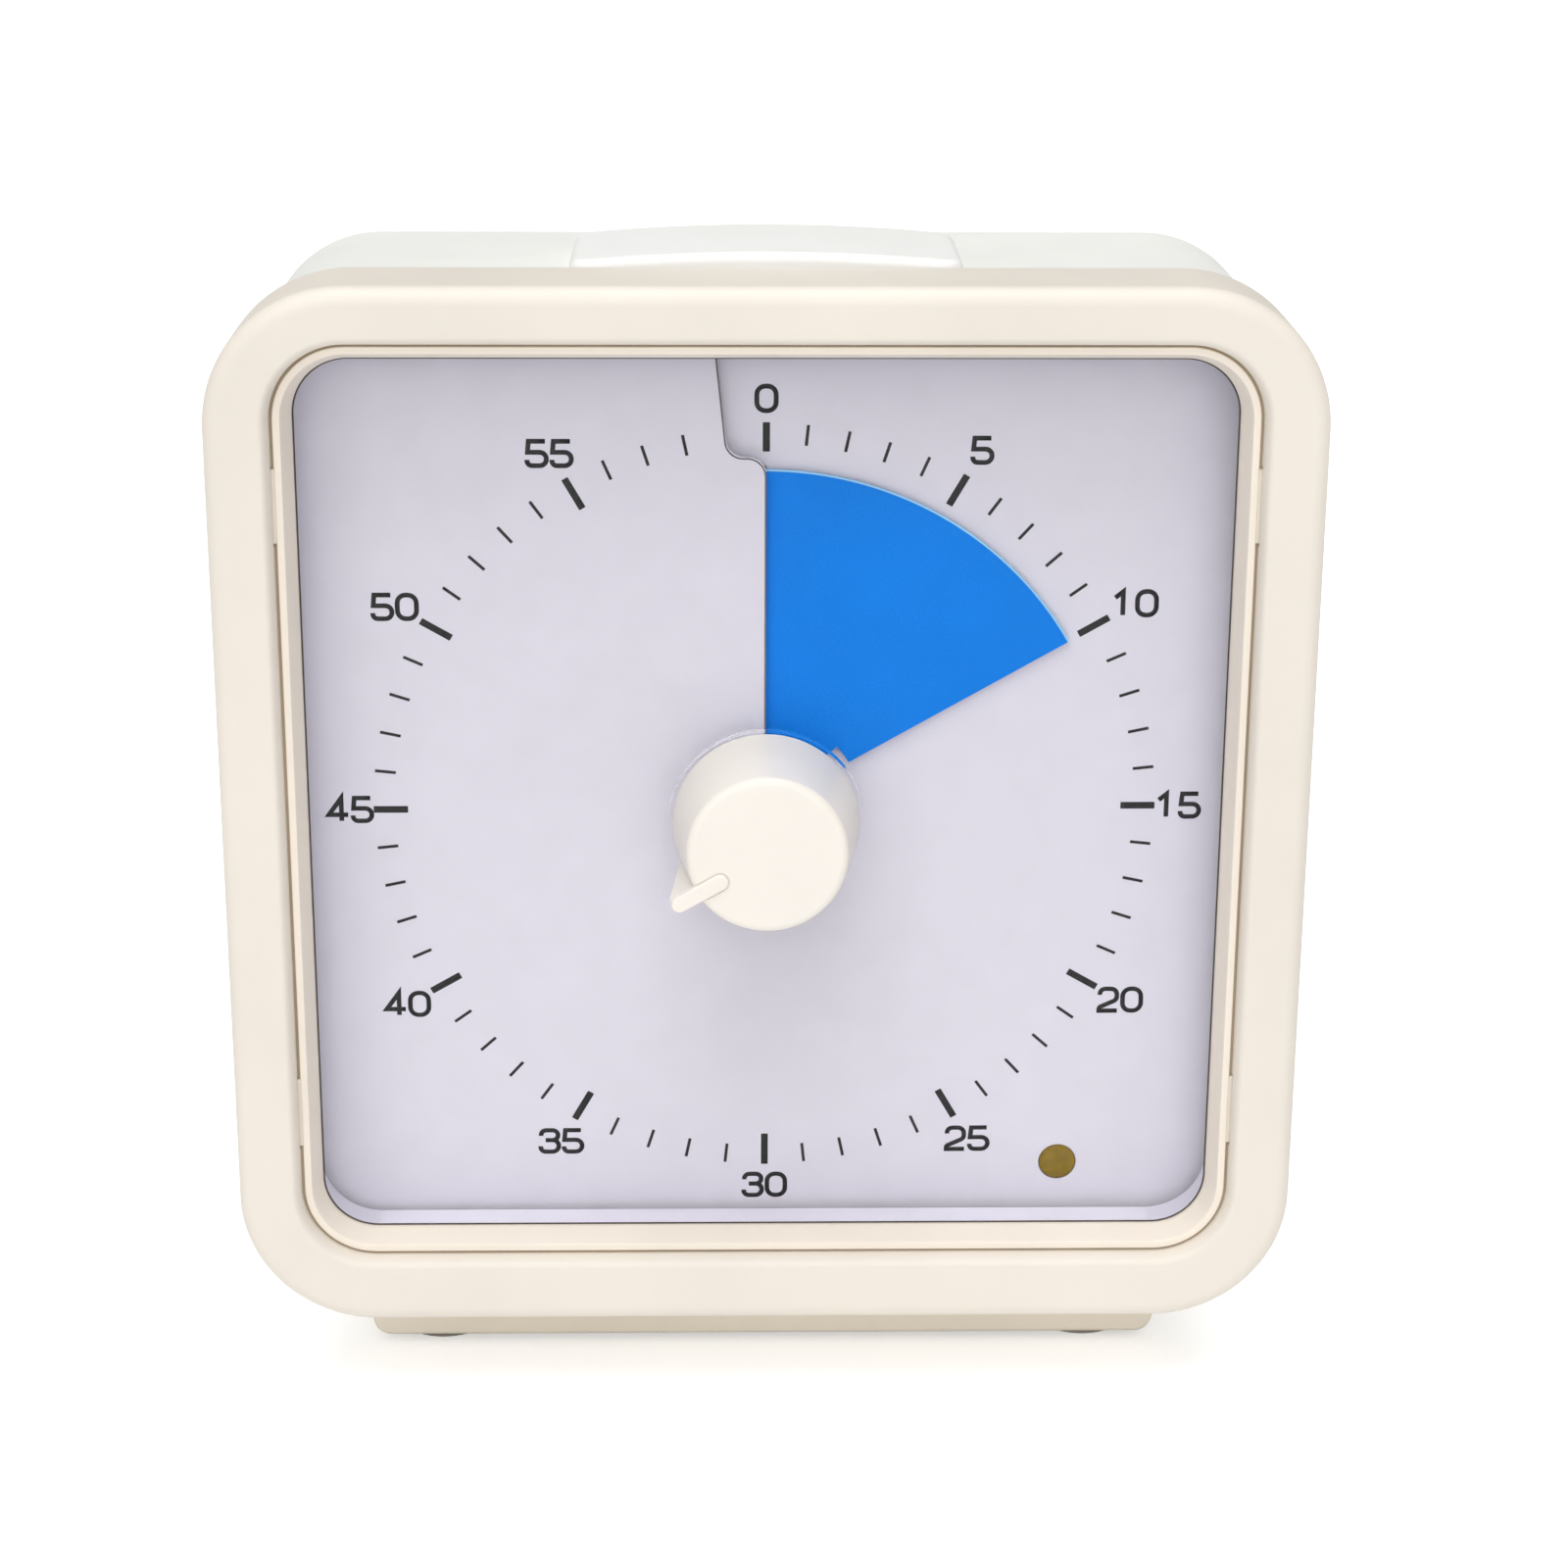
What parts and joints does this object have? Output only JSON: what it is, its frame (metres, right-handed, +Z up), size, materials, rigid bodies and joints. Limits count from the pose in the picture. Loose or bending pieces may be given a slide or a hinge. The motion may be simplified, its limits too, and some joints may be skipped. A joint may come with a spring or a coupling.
{
  "type": "kitchen timer",
  "caption": "Square countdown timer on a plinth: a coloured disc shows the time left behind a clear lens, with a central knob, top bar button and battery drive.",
  "frame": {"origin": "centre of the footprint, on the surface that the rubber pads stand on", "axes": "+Z up, -Y towards the person reading the dial, +X to their right; the knob turns about a line along +Y"},
  "size_m": [0.102, 0.0463, 0.1113],
  "materials": {
    "cream_plastic": "satin moulded",
    "knob_plastic": "satin moulded",
    "ring_plastic": "satin moulded",
    "lens_clear": "polished clear acrylic",
    "inner_plastic": "matte moulded",
    "black_plastic": "matte moulded",
    "steel": "bright",
    "brass": "bright",
    "rubber": "matte",
    "dial_print": "printed matte",
    "disc_film": "printed satin film",
    "train_plastic": "matte acetal",
    "magnet": "sintered",
    "stator_steel": "laminated",
    "coil_wire": "enamelled",
    "board": "solder mask",
    "lamp": "tinted epoxy",
    "cell_wrap": "printed sleeve",
    "lead_wire": "insulated"
  },
  "bodies": {
    "case": {"front_bezel": "cream_plastic", "lens_frame": "ring_plastic", "lens": "lens_clear", "rear_housing": "cream_plastic", "housing_screws": "steel", "foot_plinth": "cream_plastic", "plinth_screws": "steel", "foot_pads": "rubber", "chassis_plate": "inner_plastic", "dial_sheet": "dial_print", "bush_nut": "brass", "movement_case": "inner_plastic", "movement_cover": "inner_plastic", "movement_screws": "steel", "train_bridge": "inner_plastic", "stator_plate": "stator_steel", "coil_bobbin": "black_plastic", "coil_winding": "coil_wire", "circuit_board": "board", "dial_lamp": "lamp", "button_springs": "steel", "switch_bracket": "inner_plastic", "switch_body": "black_plastic", "sounder": "black_plastic", "volume_switch": "black_plastic", "upper_cell": "cell_wrap", "lower_cell": "cell_wrap", "contact_plates": "steel", "contact_springs": "steel", "battery_leads": "lead_wire"},
    "setting": {"spindle": "steel", "set_knob": "knob_plastic", "clutch_spring": "brass", "centre_wheel": "train_plastic", "wheel_clip": "steel"},
    "disc": {"time_disc": "disc_film", "disc_hub": "inner_plastic"},
    "third_arbor": {"third_wheel": "train_plastic"},
    "fourth_arbor": {"fourth_wheel": "train_plastic"},
    "rotor": {"rotor": "magnet"},
    "button": {"light_button": "knob_plastic"},
    "plunger": {"switch_plunger": "black_plastic"},
    "slider": {"volume_slider": "black_plastic"},
    "cover": {"battery_cover": "cream_plastic"}
  },
  "joints": [
    {"name": "set_spin", "type": "hinge", "parent": "case", "child": "setting", "pos_m": [0, -0.00835, 0.058], "axis": [0, 1, 0], "range_deg": [-60, 300]},
    {"name": "disc_lead", "type": "slide", "parent": "setting", "child": "disc", "axis": [0, -1, 0], "range_m": [-0.00027, 0.00133]},
    {"name": "third_spin", "type": "hinge", "parent": "case", "child": "third_arbor", "pos_m": [-0.00993, -0.00835, 0.06793], "axis": [0, 1, 0], "range_deg": [-1801, 361]},
    {"name": "fourth_spin", "type": "hinge", "parent": "case", "child": "fourth_arbor", "pos_m": [-0.00028, -0.00835, 0.06793], "axis": [0, 1, 0], "range_deg": [-1801, 9001]},
    {"name": "rotor_spin", "type": "hinge", "parent": "case", "child": "rotor", "pos_m": [0.00652, -0.00835, 0.06793], "axis": [0, 1, 0], "range_deg": [-72001, 14401]},
    {"name": "light_press", "type": "slide", "parent": "case", "child": "button", "axis": [0, 0, -1], "range_m": [0, 0.0012], "stiffness_N_per_m": 900, "springref_m": -0.001, "deforming": ["button_springs"]},
    {"name": "switch_press", "type": "slide", "parent": "case", "child": "plunger", "axis": [0, 0, -1], "range_m": [0, 0.0012]},
    {"name": "volume_slide", "type": "slide", "parent": "case", "child": "slider", "axis": [1, 0, 0], "range_m": [-0.002, 0.002]},
    {"name": "cover_release", "type": "slide", "parent": "case", "child": "cover", "axis": [0, 1, 0], "range_m": [0, 0.02]}
  ],
  "couplings": [
    {"joint": "disc_lead", "follows": "set_spin", "m_per_rad": 0.00025465},
    {"joint": "third_spin", "follows": "set_spin", "ratio": -6},
    {"joint": "fourth_spin", "follows": "set_spin", "ratio": 30},
    {"joint": "rotor_spin", "follows": "set_spin", "ratio": -240},
    {"joint": "switch_press", "follows": "light_press", "ratio": 1}
  ]
}
